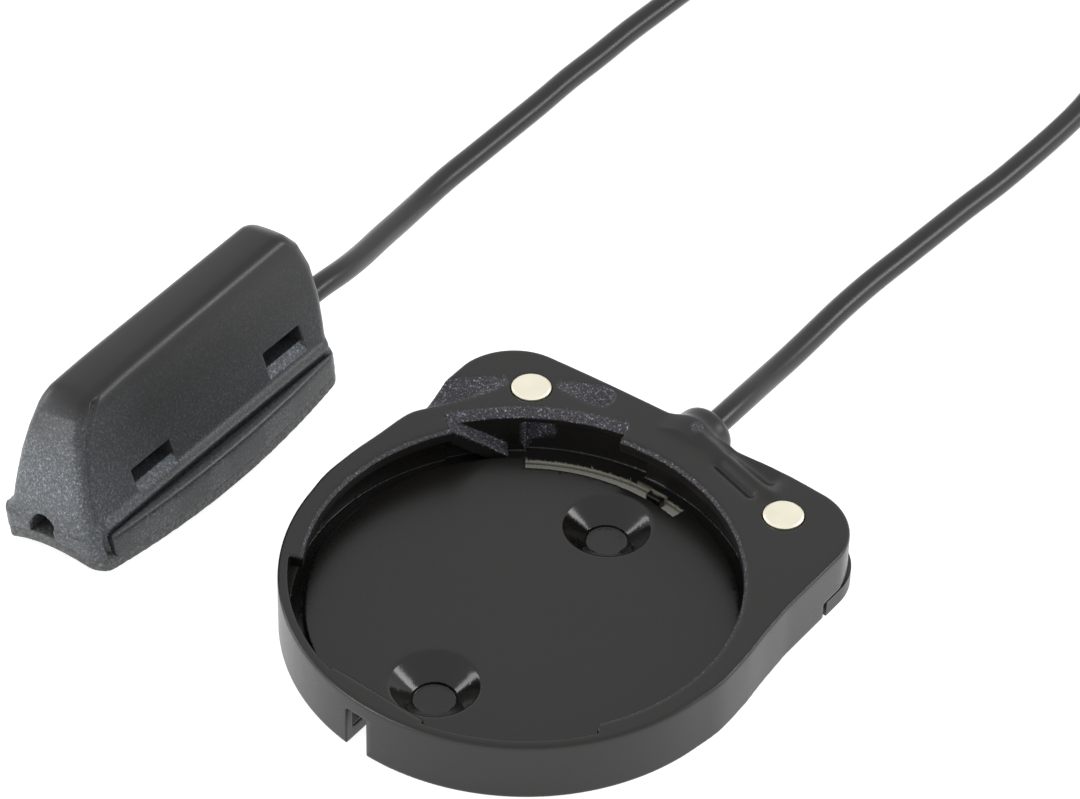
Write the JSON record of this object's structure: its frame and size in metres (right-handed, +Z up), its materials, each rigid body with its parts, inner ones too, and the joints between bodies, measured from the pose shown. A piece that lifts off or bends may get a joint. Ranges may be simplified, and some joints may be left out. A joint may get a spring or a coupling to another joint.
{
  "type": "wired bicycle computer mount and sensor",
  "caption": "Round bayonet handlebar bracket with sprung contacts on its wing, joined by a thin black cable to a wedge-shaped wheel sensor.",
  "frame": {"origin": "centre of the round dish on its flat underside, which is also the middle of the two fixing holes", "axes": "+Z up out of the dish, +Y from the dish towards the cable exit, +X along the wing towards the right contact"},
  "size_m": [0.0585, 0.1483, 0.0145],
  "materials": {
    "housing_plastic": "satin black moulded plastic with spark-eroded texture in the grooves",
    "cover_plastic": "satin black moulded plastic",
    "screw_steel": "zinc-plated steel",
    "contact_metal": "plated, bright, slightly domed",
    "spring_steel": "bright drawn wire",
    "contact_brass": "plain stamped brass",
    "core_wire": "tinned stranded copper",
    "clamp_steel": "bright pressed steel",
    "cable_jacket": "satin black flexible jacket",
    "tie_plastic": "black twist tie",
    "grommet_rubber": "matt black moulded rubber",
    "sensor_plastic": "fine-grained satin black moulded plastic",
    "pad_rubber": "grained matt black rubber",
    "reed_glass": "clear greenish glass",
    "reed_lead": "tinned wire",
    "strip_board": "green circuit board"
  },
  "bodies": {
    "bracket_and_sensor": {"bracket_housing": "housing_plastic", "bottom_cover": "cover_plastic", "cover_screws": "screw_steel", "contact_spring_left": "spring_steel", "contact_spring_right": "spring_steel", "contact_tab_left": "contact_brass", "contact_tab_right": "contact_brass", "bracket_core_wires": "core_wire", "cable_clamp": "clamp_steel", "cable_bracket_run": "cable_jacket", "cable_coil": "cable_jacket", "coil_tie": "tie_plastic", "cable_sensor_run": "cable_jacket", "sensor_grommet": "grommet_rubber", "sensor_housing": "sensor_plastic", "sensor_base": "sensor_plastic", "sensor_pad": "pad_rubber", "reed_switch": "reed_glass", "reed_leads": "reed_lead", "reed_strip": "strip_board", "sensor_core_wires": "core_wire"},
    "left_contact": {"contact_plunger_left": "contact_metal"},
    "right_contact": {"contact_plunger_right": "contact_metal"}
  },
  "joints": [
    {"name": "left_contact_press", "type": "slide", "parent": "bracket_and_sensor", "child": "left_contact", "axis": [0, 0, -1], "range_m": [0, 0.0004], "stiffness_N_per_m": 800, "springref_m": -0.0003, "deforming": ["contact_spring_left"]},
    {"name": "right_contact_press", "type": "slide", "parent": "bracket_and_sensor", "child": "right_contact", "axis": [0, 0, -1], "range_m": [0, 0.0004], "stiffness_N_per_m": 800, "springref_m": -0.0003, "deforming": ["contact_spring_right"]}
  ]
}
